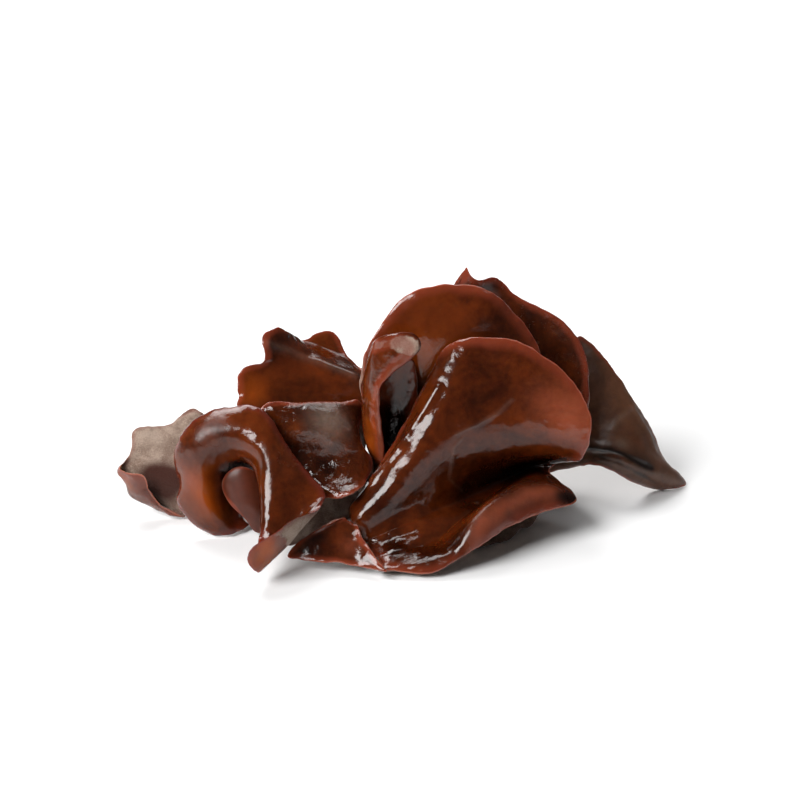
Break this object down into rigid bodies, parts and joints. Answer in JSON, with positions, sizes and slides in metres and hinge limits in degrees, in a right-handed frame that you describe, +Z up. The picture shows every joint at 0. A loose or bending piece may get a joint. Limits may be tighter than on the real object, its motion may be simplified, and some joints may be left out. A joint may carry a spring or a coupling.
{
  "type": "wood ear mushroom",
  "caption": "Clump of wood ear mushroom: thin wavy glossy brown ears that fan and fold from one small foot cut flat underneath.",
  "frame": {"origin": "on the table, below the middle of the clump's box", "axes": "+Z up, +X to the right along the clump's length, +Y away from the viewer of the picture"},
  "size_m": [0.1481, 0.0632, 0.0599],
  "materials": {
    "wet_flesh": "wet glossy gelatinous red-brown flesh, with paler red rims that let light through",
    "satin_flesh": "satin brown rubbery flesh, smooth, with soft reflections",
    "hairy_flesh": "matte grey-brown velvety hairy skin of an ear's outer side",
    "foot_flesh": "matte brown foot with a paler cut face underneath"
  },
  "bodies": {
    "root": {"ear_front": "wet_flesh", "ear_centre": "wet_flesh", "ear_curled": "wet_flesh", "ear_rear": "wet_flesh", "ear_spout": "wet_flesh", "ear_left_back": "wet_flesh", "ear_middle": "wet_flesh", "ear_front_small": "wet_flesh", "ear_right": "satin_flesh", "ear_left_inner": "satin_flesh", "ear_left_rear": "hairy_flesh", "ear_under": "hairy_flesh", "foot": "foot_flesh"}
  },
  "joints": []
}
